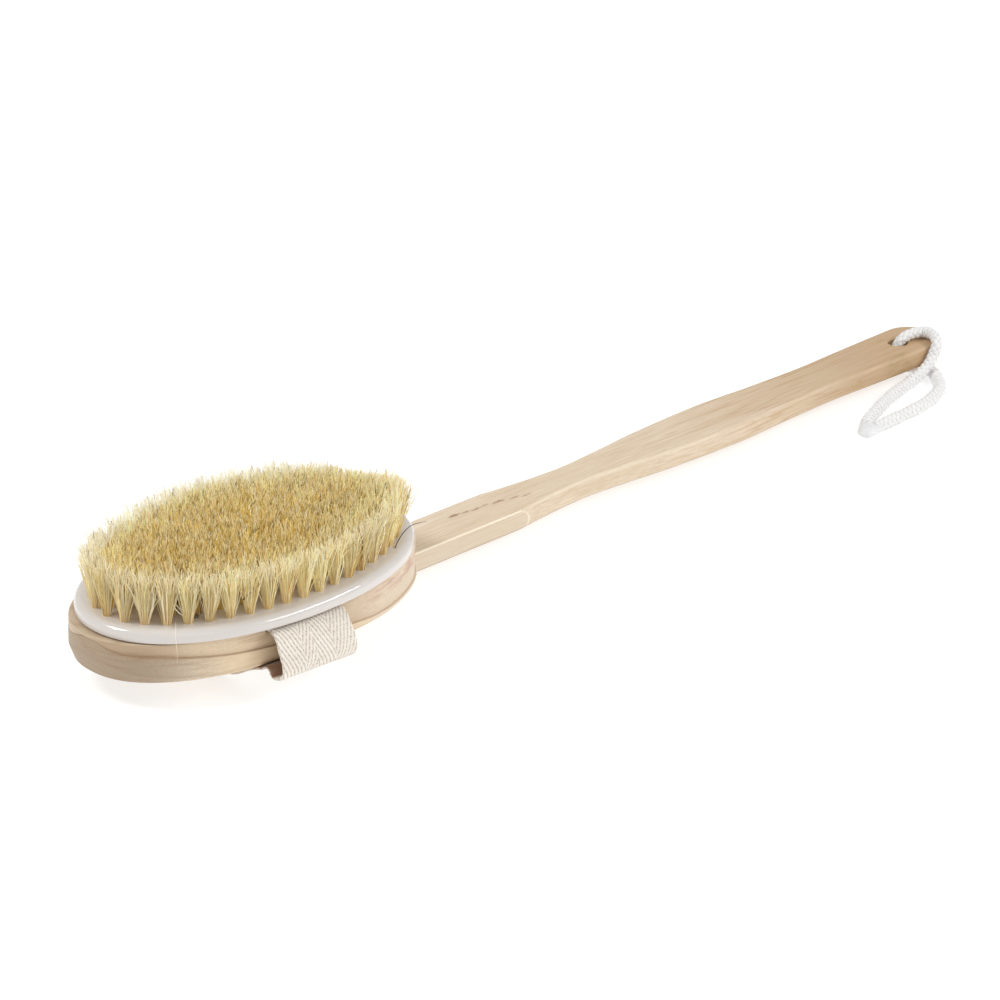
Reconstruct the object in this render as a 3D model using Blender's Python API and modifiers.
"""Body dry brush: wooden head with a bristle plate, a hand strap across its
back, a long handle that slides into the back of the head, and a hanging cord.

Frame: origin at the flat middle of the head's back, level with the handle's
underside, +X along the handle, +Z up out of the bristles. Sizes are in mm.
"""
import math

import bmesh
import bpy
from mathutils import Matrix, Vector

MM = 0.001
GAP = 0.3                     # clearance between pieces that lie on each other
FIT = 0.25                    # clearance round the tongue and the brad shanks
SHARP_ANGLE = 35              # degrees
WELD = 1e-6                   # merge distance, in metres

# ---- head -------------------------------------------------------------
HEAD_FREE_END, HEAD_HANDLE_END = 65.3, 64.1   # reach towards -X and +X
HEAD_HALF_WIDTH, HEAD_POWER, HEAD_POINTS = 34.8, 2.2, 88
HEAD_RIM_Z, HEAD_TOP_Z, DOME_Z = 5.25, 17.8, 0.0
DOME_FLAT, DOME_POWER = 0.30, 1.55   # flat share of the back, curve of the rest
# swells of the side wall past the plain oval: (height, middle x)
SWELLS = ((-1.0, -12), (0.7, 28))
SWELL_SPREAD, SWELL_FULL_Y = 14, 20
# how far the upper band stands back: at the free end's tip, and at most
STEP_TIP_DEPTH, STEP_DEPTH = 0.35, 0.8
STEP_TIP_LENGTH = 5           # run over which the depth grows from the tip
STEP_FADE_X, STEP_FADE_LENGTH, STEP_FADE = 30, 25, 0.4
# height of the step around the side wall: (x, z)
STEP_LINE = ((-HEAD_FREE_END, 17.1), (-62.6, 16.0), (-56.3, 14.1), (-44.0, 13.0),
             (-24.0, 11.5), (13.0, 7.9), (24.0, 6.9), (38.0, 6.5), (65.0, 6.5))

# ---- bristle plate ----------------------------------------------------
PLATE_HALF_LENGTH, PLATE_HALF_WIDTH = 62.5, 37.55
PLATE_POWER, PLATE_POINTS = 2.08, 80
PLATE_Z0, PLATE_Z1 = HEAD_TOP_Z + GAP, 22.3
PLATE_ROUNDING, UNDERSIDE_SHARE = 2.2, 0.25

# ---- bristles ---------------------------------------------------------
RINGS = 5
RING_HALF_LENGTH, RING_HALF_WIDTH, RING_STEP = 57.3, 31.2, 6.6
OUTER_PITCH, INNER_PITCH = 6.6, 7.8
ARC_SAMPLES = 2000
LEG_R_ROOT, LEG_R_TOP, LEG_SIDES = 1.0, 2.3, 6
LEG_Z0, LEG_Z1 = 19.6, 30.5
HOLE_R, HOLE_FLARE = LEG_R_ROOT + GAP, 1.9   # the hole widens upwards with the tuft
HOLE_TOP_Z = 23.0
CROWN_Z0, CROWN_Z1, CROWN_SEGMENTS = 29.5, 38.0, 44
CHAMFER_DROP, CHAMFER_INSET = 1.2, 0.9
# middle group: rows of tufts at +-CORE_Y, one more tuft at +-CORE_END
CORE_HALF_ROW, CORE_ROW_COUNT, CORE_Y, CORE_END = 19.0, 6, 3.6, 26.8

# ---- handle -------------------------------------------------------------
HANDLE_THICKNESS = 6.9
HANDLE_X0, HANDLE_END, END_RADIUS = 62.5, 341.0, 10.8
END_CENTRE_X, END_ARC_STEPS = HANDLE_END - END_RADIUS, 8
# plan of the handle: (x, half width)
HANDLE_HALF_WIDTHS = (
    (HANDLE_X0, 9.6), (112.0, 9.6), (128.0, 8.1), (148.0, 6.9),
    (166.0, 8.2), (190.0, 10.4), (222.0, 11.5), (250.0, 10.2),
    (275.0, 9.5), (300.0, 10.2), (END_CENTRE_X, END_RADIUS))
SHAPED_X = 112.0              # where the parallel end gives way to the shaped grip
STATION_PITCH, STATION_COUNT = 6.6, 33
STRAIGHT_STATIONS = [HANDLE_X0, 80.0, 97.0]
# rounding of the long edges, blended from the head end into the grip
EDGE_HEAD, EDGE_GRIP, EDGE_BLEND_LENGTH, EDGE_STEPS = 0.7, 2.0, 60.0, 3
RELIEF_HALF_WIDTH, RELIEF_END_GAP, RELIEF_X1 = 9.95, 0.6, 82.0
HANG_HOLE_X, HANG_HOLE_R = 321.5, 4.0
# funnel at each mouth: extra radius, height past the face, depth into it
FUNNEL_FLARE, FUNNEL_OUT, FUNNEL_IN = 1.4, 0.6, 0.8

# ---- dovetail tongue: half widths at its top and bottom -------------------
TONGUE_X0, TONGUE_X1 = 8.0, 64.0
TONGUE_Z0, TONGUE_Z1 = 1.7, 6.6
TONGUE_TOP, TONGUE_BOTTOM = 9.2, 7.2
CHANNEL_X1, CHANNEL_Z0 = 80.0, -1.0

# ---- strap --------------------------------------------------------------
STRAP_X0, STRAP_X1, STRAP_THICKNESS = -24.4, 4.6, 1.1
STRAP_END_Z = 16.65
STRAP_PATH_STEP = 3.2
STRAP_MIDDLE_BLEND = 0.55     # share of the +X edge's line at mid width
# each edge of the strap from its fixed end to the middle of the back: (y, z)
STRAP_LOW_X_EDGE = (
    (-25.0, STRAP_END_Z), (-34.5, STRAP_END_Z), (-37.4, 16.2), (-39.3, 14.7),
    (-40.9, 12.2), (-42.0, 9.3), (-42.4, 6.4), (-41.4, 4.3),
    (-38.9, 3.5), (-35.0, 3.1), (-30.0, 1.9), (-24.0, -0.6),
    (-17.0, -2.7), (-8.0, -3.4), (0.0, -3.5))
STRAP_HIGH_X_EDGE = (
    (-25.0, STRAP_END_Z), (-34.5, STRAP_END_Z), (-38.0, 16.1), (-40.6, 14.5),
    (-42.5, 11.9), (-43.8, 9.0), (-44.2, 6.1), (-42.9, 3.9),
    (-39.6, 3.1), (-35.0, 2.8), (-30.0, 1.7), (-24.0, -0.7),
    (-17.0, -2.7), (-8.0, -3.4), (0.0, -3.5))
POCKET_Z0, POCKET_Z1 = STRAP_END_Z - STRAP_THICKNESS / 2 - GAP, 19.5
POCKET_Y0, POCKET_Y1 = 24.6, 45.0

# ---- small fixings --------------------------------------------------------
STAPLE_Y, STAPLE_HALF_SPAN, STAPLE_WIRE_R = 28.5, 4.0, 0.2
STAPLES = [(x, side * STAPLE_Y) for side in (-1, 1) for x in (-17.0, -3.0)]
STAPLE_CROWN_Z, STAPLE_LEG_Z = 17.5, 11.5
STAPLE_HOLE_HALF = 0.5
HOLE_EXTRA_DEPTH = 0.5        # below the tips of the staples and brads
BRAD_X, BRAD_Y = 38.7, 19.3
BRADS = [(sx * BRAD_X, sy * BRAD_Y) for sx in (-1, 1) for sy in (-1, 1)]
BRAD_SHANK_R, BRAD_HEAD_R, BRAD_FLAT_R = 0.55, 1.1, 0.5
BRAD_Z0, BRAD_POINT, BRAD_SIDES = 11.0, 1.2, 8
BRAD_HEAD_Z, BRAD_RIM, BRAD_HEAD_HEIGHT = PLATE_Z1 + GAP, 0.25, 0.45

# ---- cord: centre lines as (x, y, z) ----------------------------------------
CORD_R = 1.85
BIGHT_STEP, STRAND_STEP = 2.0, 4.0
# up past the handle's -Y edge, over its top face, down the hole and out beneath
BIGHT = ((326.1, -13.3, 4.6), (327.3, -13.3, 6.6), (328.6, -12.6, 8.7),
         (330.9, -9.6, 9.45), (332.4, -6.2, 9.3), (331.6, -3.2, 9.2),
         (328.0, -1.9, 9.2), (324.4, -1.4, 8.9), (322.0, -0.5, 7.0),
         (321.4, 0.1, 3.6), (321.8, -0.6, 0.2), (323.6, -3.4, -2.2),
         (325.8, -7.4, -2.3), (326.7, -11.4, -2.3))
PIVOT = Vector((326.4, -13.2, 0.0))   # origin of the two strands and the seal
STRANDS = {
    "cord_strand_top": (
        (325.0, -13.3, 2.9), (323.0, -13.3, 1.2), (318.2, -13.4, -1.2),
        (313.0, -14.1, -2.2), (308.1, -15.2, -2.3), (296.3, -18.3, -2.3),
        (288.0, -21.2, -2.3), (279.2, -24.3, -2.3), (271.6, -27.8, -2.3)),
    "cord_strand_low": (
        (325.8, -14.4, -2.3), (321.4, -19.8, -2.3), (317.4, -23.8, -2.3),
        (313.3, -26.4, -2.3), (307.1, -28.8, -2.3), (298.2, -30.7, -2.3),
        (291.1, -31.2, -2.3), (283.4, -31.6, -2.3), (273.4, -32.0, -2.3)),
}
SEAL_FROM, SEAL_TO = Vector((271.3, -30.3, -2.3)), Vector((262.5, -33.4, -2.3))
SEAL_SIDES = 14
# sections of the seal: (share of its length, half width, half height)
SEAL_SECTIONS = ((0.0, 3.6, 1.75), (0.25, 4.0, 1.85), (0.6, 3.3, 1.7),
                 (0.86, 2.2, 1.35), (1.0, 0.9, 0.6))


# ---------------------------------------------------------------- scene
for old_object in list(bpy.data.objects):
    bpy.data.objects.remove(old_object, do_unlink=True)

part = bpy.data.collections.new("body_dry_brush")
cutters = bpy.data.collections.new("cutters")
bpy.context.scene.collection.children.link(part)
bpy.context.scene.collection.children.link(cutters)


def material(name, rgb, roughness):
    mat = bpy.data.materials.new(name)
    mat.use_nodes = True
    shader = mat.node_tree.nodes["Principled BSDF"]
    shader.inputs["Base Color"].default_value = (*rgb, 1.0)
    shader.inputs["Roughness"].default_value = roughness
    mat.diffuse_color = (*rgb, 1.0)
    return mat


HEAD_WOOD = material("head_wood", rgb=(0.62, 0.48, 0.33), roughness=0.5)
HANDLE_WOOD = material("handle_wood", rgb=(0.66, 0.52, 0.36), roughness=0.45)
PLATE_PLASTIC = material("plate_plastic", rgb=(0.72, 0.69, 0.66), roughness=0.25)
BRISTLE = material("bristle_fibre", rgb=(0.55, 0.42, 0.22), roughness=0.7)
WEBBING = material("strap_webbing", rgb=(0.78, 0.72, 0.64), roughness=0.85)
CORD = material("cord_fibre", rgb=(0.8, 0.79, 0.77), roughness=0.75)
SEAL_PLASTIC = material("cord_seal_plastic", rgb=(0.82, 0.82, 0.82), roughness=0.4)
STEEL = material("fixing_steel", rgb=(0.5, 0.5, 0.5), roughness=0.35)


# ---------------------------------------------------------------- objects
def add_object(name, bm, collection):
    """Turn a bmesh into an object; those in the cutters collection are hidden."""
    mesh = bpy.data.meshes.new(name)
    bm.to_mesh(mesh)
    bm.free()
    obj = bpy.data.objects.new(name, mesh)
    collection.objects.link(obj)
    if collection is cutters:
        obj.hide_render = True
        obj.display_type = "WIRE"
    return obj


def add_faced(name, bm, collection):
    """Add an object with its face normals made consistent."""
    bmesh.ops.recalc_face_normals(bm, faces=bm.faces)
    return add_object(name, bm, collection)


def evaluated_mesh(obj):
    bpy.context.view_layer.update()
    depsgraph = bpy.context.evaluated_depsgraph_get()
    return bpy.data.meshes.new_from_object(obj.evaluated_get(depsgraph))


def bake(obj):
    """Replace an object's mesh by its evaluated one."""
    mesh = evaluated_mesh(obj)
    mesh.name = obj.name
    old_mesh = obj.data
    obj.modifiers.clear()
    obj.data = mesh
    bpy.data.meshes.remove(old_mesh)


def finish(obj, mat):
    """Give a solid its material and shading."""
    obj.data.materials.clear()
    obj.data.materials.append(mat)
    for face in obj.data.polygons:
        face.use_smooth = True
    obj.data.set_sharp_from_angle(angle=math.radians(SHARP_ANGLE))


def boolean(target, tool, operation="DIFFERENCE"):
    modifier = target.modifiers.new(tool.name, "BOOLEAN")
    modifier.operation = operation
    modifier.solver = "EXACT"
    modifier.object = tool


# ---------------------------------------------------------------- outlines
def clamp(value):
    return min(1.0, max(0.0, value))


def per_point(value, count):
    """A list as it is, or a single value repeated for every point."""
    return value if isinstance(value, list) else [value] * count


def row(outline, depth, height):
    """A closed anticlockwise plan outline moved inwards by depth, at a height."""
    count = len(outline)
    depths, heights = per_point(depth, count), per_point(height, count)
    points = []
    for i, (x, y) in enumerate(outline):
        before_x, before_y = outline[i - 1]
        after_x, after_y = outline[(i + 1) % count]
        run_x, run_y = after_x - before_x, after_y - before_y
        length = math.hypot(run_x, run_y)
        points.append((x - run_y / length * depths[i],
                       y + run_x / length * depths[i], heights[i]))
    return points


def superellipse(reach_pos_x, reach_neg_x, half_width, power, count):
    points = []
    for i in range(count):
        angle = 2 * math.pi * (i + 0.5) / count
        cos, sin = math.cos(angle), math.sin(angle)
        reach = reach_pos_x if cos > 0 else reach_neg_x
        points.append((reach * math.copysign(abs(cos) ** (2 / power), cos),
                       half_width * math.copysign(abs(sin) ** (2 / power), sin)))
    return points


def through(stations, x):
    """Smooth monotone curve through (x, value) stations."""
    xs = [station[0] for station in stations]
    values = [station[1] for station in stations]
    if x <= xs[0]:
        return values[0]
    if x >= xs[-1]:
        return values[-1]
    steps = [(values[i + 1] - values[i]) / (xs[i + 1] - xs[i])
             for i in range(len(xs) - 1)]
    slopes = [0.0] * len(xs)
    for i in range(1, len(xs) - 1):
        if steps[i - 1] * steps[i] > 0:
            slopes[i] = 2 * steps[i - 1] * steps[i] / (steps[i - 1] + steps[i])
    k = max(i for i in range(len(xs) - 1) if xs[i] <= x)
    span = xs[k + 1] - xs[k]
    u = (x - xs[k]) / span
    return (values[k] * (1 + 2 * u) * (1 - u) ** 2
            + slopes[k] * span * u * (1 - u) ** 2
            + values[k + 1] * u * u * (3 - 2 * u)
            + slopes[k + 1] * span * u * u * (u - 1))


def smooth_path(points, step):
    """Catmull-Rom curve through the points, one point about every step."""
    path = []
    for i in range(len(points) - 1):
        p0 = Vector(points[max(i - 1, 0)])
        p1, p2 = Vector(points[i]), Vector(points[i + 1])
        p3 = Vector(points[min(i + 2, len(points) - 1)])
        count = max(1, round((p2 - p1).length / step))
        for k in range(count):
            u = k / count
            path.append(0.5 * (2 * p1 + (p2 - p0) * u
                               + (2 * p0 - 5 * p1 + 4 * p2 - p3) * u * u
                               + (3 * p1 - p0 - 3 * p2 + p3) * u ** 3))
    path.append(Vector(points[-1]))
    return path


# ---------------------------------------------------------------- solids
def loft(rows, ring=False):
    """Skin closed rows of points: capped at both ends, or joined into a ring."""
    bm = bmesh.new()
    loops = [[bm.verts.new(Vector(point) * MM) for point in points] for points in rows]
    count = len(loops[0])
    for low, high in zip(loops, loops[1:] + (loops[:1] if ring else [])):
        for i in range(count):
            j = (i + 1) % count
            bm.faces.new((low[i], low[j], high[j], high[i]))
    if not ring:
        bm.faces.new(list(reversed(loops[0])))
        bm.faces.new(loops[-1])
    return bm


def box(bm, x0, x1, y0, y1, z0, z1):
    size = Vector((x1 - x0, y1 - y0, z1 - z0)) * MM
    middle = Vector((x0 + x1, y0 + y1, z0 + z1)) * (MM / 2)
    bmesh.ops.create_cube(bm, size=1.0, matrix=Matrix.Translation(middle)
                          @ Matrix.Diagonal((*size, 1.0)))


def prism(bm, x, y, r0, z0, r1, z1, sides, turn=0.0):
    """A tapered bar standing along Z, radius r0 at z0 and r1 at z1."""
    place = (Matrix.Translation(Vector((x, y, (z0 + z1) / 2)) * MM)
             @ Matrix.Rotation(turn, 4, "Z"))
    bmesh.ops.create_cone(bm, cap_ends=True, segments=sides, radius1=r0 * MM,
                          radius2=r1 * MM, depth=(z1 - z0) * MM, matrix=place)


def turned(name, profile, collection, steps):
    """A solid turned round Z from (r, z) points down its outer side."""
    bm = bmesh.new()
    verts = [bm.verts.new((r * MM, 0.0, z * MM)) for r, z in profile]
    for start, end in zip(verts, verts[1:]):
        bm.edges.new((start, end))
    obj = add_object(name, bm, collection)
    screw = obj.modifiers.new("turn", "SCREW")
    screw.axis = "Z"
    screw.steps = screw.render_steps = steps
    screw.use_merge_vertices = True
    screw.merge_threshold = 0.00001
    screw.use_smooth_shade = True
    return obj


def poly_curve(name, points, dimensions):
    """A curve of straight pieces through (x, y, z) points, and its spline."""
    curve = bpy.data.curves.new(name, "CURVE")
    curve.dimensions = dimensions
    spline = curve.splines.new("POLY")
    spline.points.add(len(points) - 1)
    for spline_point, (x, y, z) in zip(spline.points, points):
        spline_point.co = (x * MM, y * MM, z * MM, 1.0)
    return curve, spline


def curve_bmesh(curve):
    """The welded surface that a curve generates."""
    holder = bpy.data.objects.new(curve.name + "_curve", curve)
    part.objects.link(holder)
    mesh = evaluated_mesh(holder)
    bpy.data.objects.remove(holder, do_unlink=True)
    bm = bmesh.new()
    bm.from_mesh(mesh)
    bpy.data.meshes.remove(mesh)
    bmesh.ops.remove_doubles(bm, verts=bm.verts, dist=WELD)
    return bm


def tube(name, points, radius, resolution=2):
    """A round bar along a path, as a closed solid."""
    curve, _ = poly_curve(name, points, "3D")
    curve.bevel_depth = radius * MM
    curve.bevel_resolution = resolution
    curve.use_fill_caps = True
    return add_faced(name, curve_bmesh(curve), part)


def slab(name, outline, z0, z1):
    """A flat outline given thickness, with its origin at mid thickness."""
    curve, spline = poly_curve(name, [(x, y, 0.0) for x, y in outline], "2D")
    curve.fill_mode = "BOTH"
    curve.extrude = (z1 - z0) * MM / 2
    spline.use_cyclic_u = True
    bm = curve_bmesh(curve)
    # merge the flat faces' triangles into single faces
    bmesh.ops.dissolve_limit(bm, angle_limit=math.radians(0.05),
                             verts=bm.verts, edges=bm.edges)
    obj = add_faced(name, bm, part)
    obj.location.z = (z0 + z1) * MM / 2
    return obj


# ------------------------------------------------------- shared by two pieces
def tongue_bar(x0, x1, grow, low):
    """The dovetail from x0 to x1 and up from low, grown at its sides and top."""
    slope = (TONGUE_TOP - TONGUE_BOTTOM) / (TONGUE_Z1 - TONGUE_Z0)
    top = TONGUE_TOP + grow
    bottom = top - slope * (TONGUE_Z1 - low)
    high = TONGUE_Z1 + grow
    section = ((-bottom, low), (bottom, low), (top, high), (-top, high))
    return loft([[(x, y, z) for y, z in section] for x in (x0, x1)])


def add_staple_holes(bm, z0, z1):
    """Square bars where the staple legs pass."""
    half = STAPLE_HOLE_HALF
    for staple_x, y in STAPLES:
        for x in (staple_x - STAPLE_HALF_SPAN, staple_x + STAPLE_HALF_SPAN):
            box(bm, x - half, x + half, y - half, y + half, z0, z1)


def add_brad_holes(bm, z0, z1):
    """Bars where the brad shanks pass."""
    radius = BRAD_SHANK_R + FIT
    for x, y in BRADS:
        prism(bm, x, y, radius, z0, radius, z1, BRAD_SIDES)


# ------------------------------------------------------------ wooden head
def swell(x):
    """How far the side wall swells past the plain oval at a station."""
    return sum(height * math.exp(-((x - middle) / SWELL_SPREAD) ** 2)
               for height, middle in SWELLS)


def step_depth(x):
    """How far the upper band stands back at a station."""
    growth = clamp((x + HEAD_FREE_END) / STEP_TIP_LENGTH)
    fade = STEP_FADE * clamp((x - STEP_FADE_X) / STEP_FADE_LENGTH)
    return STEP_TIP_DEPTH + (STEP_DEPTH - STEP_TIP_DEPTH) * growth * (1.0 - fade)


def dome_z(share):
    """Height of the domed back at a share of the way out to the wall."""
    rise = ((share - DOME_FLAT) / (1 - DOME_FLAT)) ** DOME_POWER
    return DOME_Z + (HEAD_RIM_Z - DOME_Z) * rise


def head_rows():
    oval = superellipse(HEAD_HANDLE_END, HEAD_FREE_END, HEAD_HALF_WIDTH,
                        HEAD_POWER, HEAD_POINTS)
    wall = [(x, y + math.copysign(swell(x) * min(1.0, abs(y) / SWELL_FULL_Y), y))
            for x, y in oval]
    step_z = [through(STEP_LINE, x) for x, _ in wall]
    set_back = [step_depth(x) for x, _ in wall]
    rows = [[(x * share, y * share, dome_z(share)) for x, y in wall]
            for share in (DOME_FLAT, 0.62, 0.86)]
    # from the dome's edge up the side: (distance in from the wall, height)
    profile = (
        (1.2, dome_z(0.97)),
        (0.35, HEAD_RIM_Z + 0.12),
        (0.0, HEAD_RIM_Z + 0.55),
        (0.0, [z - 0.3 for z in step_z]),
        (0.25, step_z),
        (set_back, [z + 0.15 for z in step_z]),
        (set_back, HEAD_TOP_Z - 0.35),
        ([depth + 0.4 for depth in set_back], HEAD_TOP_Z),
    )
    return rows + [row(wall, depth, z) for depth, z in profile]


def build_head():
    head = add_faced("wooden_head", loft(head_rows()), part)

    channel = tongue_bar(TONGUE_X0 - FIT, CHANNEL_X1, grow=FIT, low=CHANNEL_Z0)
    boolean(head, add_faced("tongue_channel", channel, cutters))

    relief = bmesh.new()
    box(relief, HANDLE_X0 - RELIEF_END_GAP, RELIEF_X1,
        -RELIEF_HALF_WIDTH, RELIEF_HALF_WIDTH, -2.0, HANDLE_THICKNESS + GAP)
    boolean(head, add_faced("handle_relief", relief, cutters))

    pockets = bmesh.new()
    for y0, y1 in ((-POCKET_Y1, -POCKET_Y0), (POCKET_Y0, POCKET_Y1)):
        box(pockets, STRAP_X0 - GAP, STRAP_X1 + GAP, y0, y1, POCKET_Z0, POCKET_Z1)
    boolean(head, add_faced("strap_pockets", pockets, cutters))

    pilots = bmesh.new()
    add_staple_holes(pilots, STAPLE_LEG_Z - HOLE_EXTRA_DEPTH, 17.0)
    add_brad_holes(pilots, BRAD_Z0 - HOLE_EXTRA_DEPTH, 19.0)
    boolean(head, add_faced("pilot_holes", pilots, cutters))
    bake(head)
    finish(head, HEAD_WOOD)


# ------------------------------------------------------------- tuft roots
def ring_axes(index):
    """Half length and half width of the oval that a ring of tufts follows."""
    return (RING_HALF_LENGTH - index * RING_STEP,
            RING_HALF_WIDTH - index * RING_STEP)


def core_roots():
    """The middle group: two short rows closed by one tuft at each end."""
    roots = [(CORE_HALF_ROW * (2 * n / (CORE_ROW_COUNT - 1) - 1),
              side * CORE_Y, side * math.pi / 2)
             for side in (-1, 1) for n in range(CORE_ROW_COUNT)]
    return roots + [(-CORE_END, 0.0, math.pi), (CORE_END, 0.0, 0.0)]


def tuft_roots(index):
    """Roots of one ring of tufts, as (x, y, turn about Z)."""
    if index == RINGS - 1:
        return core_roots()
    # arc length along the oval, so the tufts can be spaced evenly
    half_length, half_width = ring_axes(index)
    arc = [0.0]
    for k in range(ARC_SAMPLES):
        t0, t1 = (2 * math.pi * i / ARC_SAMPLES for i in (k, k + 1))
        arc.append(arc[-1] + math.hypot(half_length * (math.cos(t1) - math.cos(t0)),
                                        half_width * (math.sin(t1) - math.sin(t0))))
    count = round(arc[-1] / (OUTER_PITCH if index == 0 else INNER_PITCH))
    roots = []
    k = 0
    for n in range(count):
        target = arc[-1] * (n + 0.5) / count
        while arc[k + 1] < target:
            k += 1
        sample = k + (target - arc[k]) / (arc[k + 1] - arc[k])
        turn = 2 * math.pi * sample / ARC_SAMPLES
        roots.append((half_length * math.cos(turn), half_width * math.sin(turn), turn))
    return roots


# ---------------------------------------------------------- bristle plate
def round_plate_edges(plate):
    """Bevel the upper edge fully and the lower edge slightly."""
    weights = plate.data.attributes.new("bevel_weight_edge", "FLOAT", "EDGE")
    for edge in plate.data.edges:
        heights = [plate.data.vertices[v].co.z for v in edge.vertices]
        if min(heights) > 0:
            weights.data[edge.index].value = 1.0
        elif max(heights) < 0:
            weights.data[edge.index].value = UNDERSIDE_SHARE
    rounding = plate.modifiers.new("rounding", "BEVEL")
    rounding.limit_method = "WEIGHT"
    rounding.width = PLATE_ROUNDING * MM
    rounding.segments = 3


def build_plate():
    outline = superellipse(PLATE_HALF_LENGTH, PLATE_HALF_LENGTH, PLATE_HALF_WIDTH,
                           PLATE_POWER, PLATE_POINTS)
    plate = slab("bristle_plate", outline, PLATE_Z0, PLATE_Z1)
    round_plate_edges(plate)

    sockets = bmesh.new()
    for index in range(RINGS):
        for x, y, turn in tuft_roots(index):
            prism(sockets, x, y, HOLE_R, LEG_Z0 - GAP, HOLE_FLARE, HOLE_TOP_Z,
                  LEG_SIDES, turn)
    boolean(plate, add_faced("tuft_holes", sockets, cutters))

    brad_holes = bmesh.new()
    add_brad_holes(brad_holes, 16.0, 24.0)
    boolean(plate, add_faced("brad_holes", brad_holes, cutters))
    bake(plate)
    finish(plate, PLATE_PLASTIC)


# ----------------------------------------------------------- bristle rings
def crown_row(half_length, half_width, grow, z):
    """One oval of the crown, moved out along its normals."""
    points = []
    for n in range(CROWN_SEGMENTS):
        angle = 2 * math.pi * n / CROWN_SEGMENTS
        cos, sin = math.cos(angle), math.sin(angle)
        normal_x, normal_y = half_width * cos, half_length * sin
        length = math.hypot(normal_x, normal_y)
        points.append((half_length * cos + normal_x / length * grow,
                       half_width * sin + normal_y / length * grow, z))
    return points


def crown(index):
    """The band where the flared tufts of one ring meet; solid for the middle group."""
    half_length, half_width = ring_axes(index)
    half_step = RING_STEP / 2
    # (distance in from the band's boundary, height), from the bottom up
    profile = ((GAP / 2, CROWN_Z0),
               (GAP / 2, CROWN_Z1 - CHAMFER_DROP),
               (GAP / 2 + CHAMFER_INSET, CROWN_Z1))
    rows = [crown_row(half_length + half_step, half_width + half_step, -depth, z)
            for depth, z in profile]
    has_hole = index < RINGS - 1
    if has_hole:
        rows += [crown_row(half_length - half_step, half_width - half_step, depth, z)
                 for depth, z in reversed(profile)]
    return add_faced("bristle_ring_%d" % (index + 1), loft(rows, ring=has_hole), part)


def build_bristle_ring(index):
    ring = crown(index)
    legs = bmesh.new()
    for x, y, turn in tuft_roots(index):
        prism(legs, x, y, LEG_R_ROOT, LEG_Z0, LEG_R_TOP, LEG_Z1, LEG_SIDES, turn)
    boolean(ring, add_faced("ring_%d_legs" % (index + 1), legs, cutters), "UNION")
    bake(ring)
    finish(ring, BRISTLE)


# ----------------------------------------------------------- small fixings
def build_brad(number, x, y):
    profile = ((0.0, BRAD_HEAD_Z + BRAD_HEAD_HEIGHT),
               (BRAD_FLAT_R, BRAD_HEAD_Z + BRAD_HEAD_HEIGHT),
               (BRAD_HEAD_R, BRAD_HEAD_Z + BRAD_RIM),
               (BRAD_HEAD_R, BRAD_HEAD_Z),
               (BRAD_SHANK_R, BRAD_HEAD_Z),
               (BRAD_SHANK_R, BRAD_Z0 + BRAD_POINT),
               (0.0, BRAD_Z0))
    brad = turned("plate_brad_%d" % number, profile, part, steps=BRAD_SIDES)
    brad.location = (x * MM, y * MM, 0.0)
    bake(brad)
    finish(brad, STEEL)


def build_staple(number, x, y):
    half = STAPLE_HALF_SPAN
    path = ((-half, 0.0, STAPLE_LEG_Z), (-half, 0.0, STAPLE_CROWN_Z),
            (half, 0.0, STAPLE_CROWN_Z), (half, 0.0, STAPLE_LEG_Z))
    staple = tube("strap_staple_%d" % number, path, STAPLE_WIRE_R, resolution=1)
    staple.location = (x * MM, y * MM, 0.0)
    finish(staple, STEEL)


# -------------------------------------------------------------- hand strap
def strap_edge(half):
    """One whole edge of the strap as (y, z), mirrored about the middle."""
    path = smooth_path([(0.0, y, z) for y, z in half], STRAP_PATH_STEP)
    near = [(point.y, point.z) for point in path]
    return near + [(-y, z) for y, z in reversed(near[:-1])]


def build_strap():
    low_edge, high_edge = strap_edge(STRAP_LOW_X_EDGE), strap_edge(STRAP_HIGH_X_EDGE)
    bm = bmesh.new()
    columns = []
    for x, blend in ((STRAP_X0, 0.0), ((STRAP_X0 + STRAP_X1) / 2, STRAP_MIDDLE_BLEND),
                     (STRAP_X1, 1.0)):
        columns.append([bm.verts.new(Vector((x, y0 + (y1 - y0) * blend,
                                             z0 + (z1 - z0) * blend)) * MM)
                        for (y0, z0), (y1, z1) in zip(low_edge, high_edge)])
    for first, second in zip(columns, columns[1:]):
        for k in range(len(first) - 1):
            bm.faces.new((first[k], first[k + 1], second[k + 1], second[k]))
    strap = add_faced("hand_strap", bm, part)
    thickness = strap.modifiers.new("thickness", "SOLIDIFY")
    thickness.thickness = STRAP_THICKNESS * MM
    thickness.offset = 0.0
    thickness.use_even_offset = True

    slots = bmesh.new()
    add_staple_holes(slots, 14.0, 19.0)
    boolean(strap, add_faced("staple_slots", slots, cutters))
    bake(strap)
    finish(strap, WEBBING)


# ------------------------------------------------------------------ handle
def handle_outline():
    xs = STRAIGHT_STATIONS + [SHAPED_X + STATION_PITCH * k for k in range(STATION_COUNT)]
    upper = [(x, through(HANDLE_HALF_WIDTHS, x)) for x in xs]
    for k in range(END_ARC_STEPS + 1):
        angle = math.pi / 2 * k / END_ARC_STEPS
        upper.append((END_CENTRE_X + END_RADIUS * math.sin(angle),
                      END_RADIUS * math.cos(angle)))
    lower = [(x, -y) for x, y in reversed(upper[:-1])]
    return list(reversed(upper + lower))


def edge_radius(x):
    u = clamp((x - SHAPED_X) / EDGE_BLEND_LENGTH)
    return EDGE_HEAD + (EDGE_GRIP - EDGE_HEAD) * u * u * (3 - 2 * u)


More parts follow.
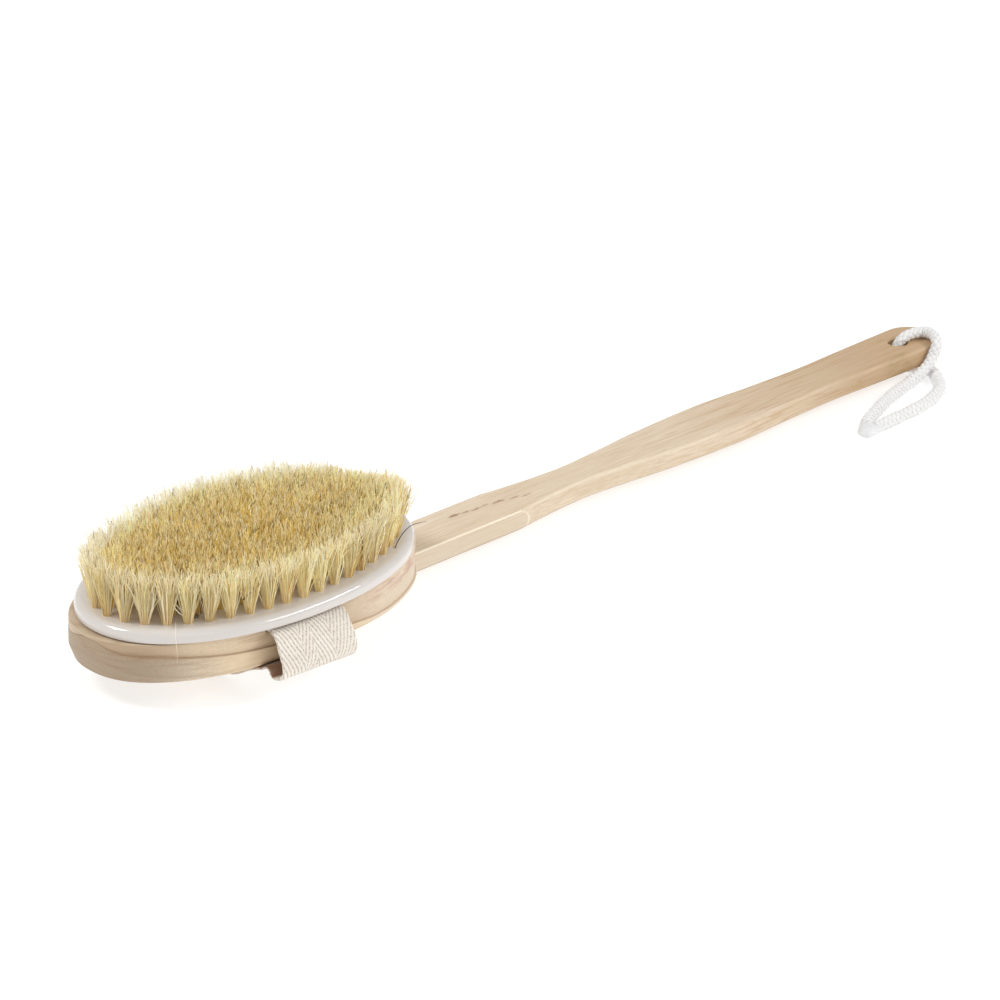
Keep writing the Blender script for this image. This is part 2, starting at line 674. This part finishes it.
def handle_rows():
    """Rows up the rounded lower edge, then up the rounded upper edge."""
    plan = handle_outline()
    radii = [edge_radius(x) for x, _ in plan]
    levels = ([(k, False) for k in range(EDGE_STEPS, -1, -1)]
              + [(k, True) for k in range(EDGE_STEPS + 1)])
    rows = []
    for k, is_upper in levels:
        angle = k * math.pi / 2 / EDGE_STEPS
        # the end inside the head keeps square edges
        depth = [0.0 if x <= HANDLE_X0 + 1e-6 else radius * (1 - math.cos(angle))
                 for radius, (x, _) in zip(radii, plan)]
        lift = [radius * (1 - math.sin(angle)) for radius in radii]
        height = [HANDLE_THICKNESS - rise for rise in lift] if is_upper else lift
        rows.append(row(plan, depth, height))
    return rows


def build_handle():
    handle = add_faced("handle", loft(handle_rows()), part)
    tongue = tongue_bar(TONGUE_X0, TONGUE_X1, grow=0.0, low=TONGUE_Z0)
    boolean(handle, add_faced("dovetail_tongue", tongue, cutters), "UNION")

    mouth_r = HANG_HOLE_R + FUNNEL_FLARE
    profile = ((0.0, HANDLE_THICKNESS + FUNNEL_OUT),
               (mouth_r, HANDLE_THICKNESS + FUNNEL_OUT),
               (HANG_HOLE_R, HANDLE_THICKNESS - FUNNEL_IN),
               (HANG_HOLE_R, FUNNEL_IN),
               (mouth_r, -FUNNEL_OUT),
               (0.0, -FUNNEL_OUT))
    hole = turned("hanging_hole", profile, cutters, steps=24)
    hole.location.x = HANG_HOLE_X * MM
    boolean(handle, hole)
    bake(handle)
    finish(handle, HANDLE_WOOD)


# -------------------------------------------------------------------- cord
def build_cord():
    finish(tube("cord_bight", smooth_path(BIGHT, BIGHT_STEP), CORD_R), CORD)
    for name, points in STRANDS.items():
        path = [point - PIVOT for point in smooth_path(points, STRAND_STEP)]
        strand = tube(name, path, CORD_R)
        strand.location = PIVOT * MM
        finish(strand, CORD)


def build_seal():
    """The tapered piece at the strands' ends."""
    run = SEAL_TO - SEAL_FROM
    across = Vector((-run.y, run.x, 0.0)).normalized()
    rows = []
    for share, half_width, half_height in SEAL_SECTIONS:
        middle = SEAL_FROM + run * share - PIVOT
        angles = [2 * math.pi * k / SEAL_SIDES for k in range(SEAL_SIDES)]
        rows.append([middle + across * (half_width * math.cos(angle))
                     + Vector((0, 0, half_height * math.sin(angle)))
                     for angle in angles])
    seal = add_faced("cord_seal", loft(rows), part)
    seal.location = PIVOT * MM
    finish(seal, SEAL_PLASTIC)


build_head()
build_plate()
for ring_index in range(RINGS):
    build_bristle_ring(ring_index)
for brad_number, (brad_x, brad_y) in enumerate(BRADS, start=1):
    build_brad(brad_number, brad_x, brad_y)
build_strap()
for staple_number, (staple_x, staple_y) in enumerate(STAPLES, start=1):
    build_staple(staple_number, staple_x, staple_y)
build_handle()
build_cord()
build_seal()
